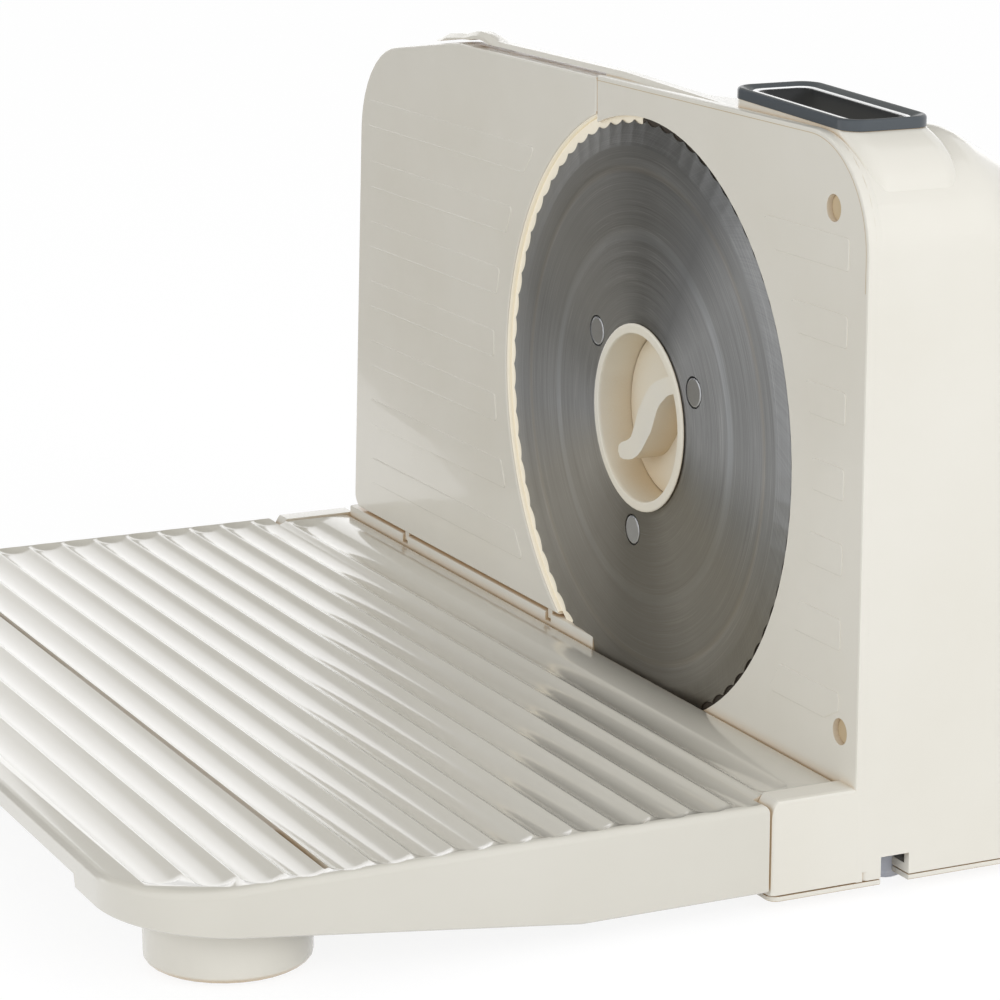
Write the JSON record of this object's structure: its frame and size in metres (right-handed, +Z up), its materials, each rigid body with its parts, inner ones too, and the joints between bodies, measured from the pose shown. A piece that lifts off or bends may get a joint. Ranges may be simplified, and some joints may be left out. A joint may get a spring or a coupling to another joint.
{
  "type": "folding food slicer",
  "caption": "Motor-driven food slicer with a serrated round blade, sliding stop plate, fold-up fluted table and a rocker-dished push switch on a sloping housing.",
  "frame": {"origin": "middle of the footprint's bounding box, on the floor", "axes": "+Z up; +X from the table towards the motor, square to the blade; +Y along the blade plate, away from the switch"},
  "size_m": [0.31, 0.342, 0.2058],
  "materials": {
    "cream_plastic": "gloss",
    "blade_steel": "brushed",
    "zinc_steel": "satin",
    "nylon": "matte",
    "grey_plastic": "matte",
    "dark_plastic": "gloss",
    "bright_trim": "polished",
    "bronze": "satin",
    "soft_rubber": "matte"
  },
  "bodies": {
    "housing": {"front_panel": "cream_plastic", "main_housing": "cream_plastic", "inner_wall": "cream_plastic", "base_plate": "cream_plastic", "soft_foot_1": "soft_rubber", "soft_foot_2": "soft_rubber", "soft_foot_3": "soft_rubber", "soft_foot_4": "soft_rubber", "switch_base": "grey_plastic", "switch_bezel": "dark_plastic", "switch_ring": "bright_trim", "micro_switch": "dark_plastic", "gear_plate": "grey_plastic", "bearing_bush": "bronze", "idler_pin": "zinc_steel", "motor_body": "grey_plastic", "panel_screw_1": "zinc_steel", "panel_screw_2": "zinc_steel", "hinge_pin_near": "zinc_steel", "hinge_pin_far": "zinc_steel", "guide_bracket": "grey_plastic"},
    "blade": {"blade": "blade_steel", "blade_hub": "cream_plastic", "blade_backing": "zinc_steel", "blade_rivet_1": "zinc_steel", "blade_rivet_2": "zinc_steel", "blade_rivet_3": "zinc_steel", "blade_gear": "nylon"},
    "latch": {"blade_latch": "cream_plastic"},
    "idler": {"idler_gear": "nylon"},
    "rotor": {"motor_pinion": "zinc_steel"},
    "button": {"switch_button": "dark_plastic"},
    "stop": {"stop_plate": "cream_plastic", "stop_carrier": "grey_plastic", "guide_rod_upper": "zinc_steel", "guide_rod_lower": "zinc_steel"},
    "knob": {"thickness_knob": "cream_plastic"},
    "table": {"folding_table": "cream_plastic", "table_leg_near": "cream_plastic", "table_leg_far": "cream_plastic", "table_pad_near": "soft_rubber", "table_pad_far": "soft_rubber"}
  },
  "joints": [
    {"name": "blade_spin", "type": "hinge", "parent": "housing", "child": "blade", "pos_m": [0.045, -0.0485, 0.1055], "axis": [1, 0, 0], "continuous": true},
    {"name": "idler_spin", "type": "hinge", "parent": "housing", "child": "idler", "pos_m": [0.045, -0.07967, 0.08447], "axis": [1, 0, 0], "continuous": true},
    {"name": "motor_spin", "type": "hinge", "parent": "housing", "child": "rotor", "pos_m": [0.045, -0.10048, 0.07044], "axis": [1, 0, 0], "continuous": true},
    {"name": "latch_turn", "type": "hinge", "parent": "blade", "child": "latch", "pos_m": [0.045, -0.0485, 0.1055], "axis": [1, 0, 0], "range_deg": [0, 90]},
    {"name": "button_press", "type": "slide", "parent": "housing", "child": "button", "axis": [0, 0.0366, -0.9993], "range_m": [0, 0.003], "stiffness_N_per_m": 300, "springref_m": -0.002},
    {"name": "stop_slide", "type": "slide", "parent": "housing", "child": "stop", "axis": [1, 0, 0], "range_m": [0, 0.015]},
    {"name": "knob_turn", "type": "hinge", "parent": "housing", "child": "knob", "pos_m": [0.045, 0.0795, 0.1055], "axis": [1, 0, 0], "range_deg": [0, 300]},
    {"name": "table_fold", "type": "hinge", "parent": "housing", "child": "table", "pos_m": [0.027, 0, 0.02544], "axis": [0, 1, 0], "range_deg": [0, 90]}
  ],
  "couplings": [
    {"joint": "idler_spin", "follows": "blade_spin", "ratio": -4},
    {"joint": "motor_spin", "follows": "blade_spin", "ratio": 16},
    {"joint": "knob_turn", "follows": "stop_slide", "rad_per_m": 349}
  ]
}
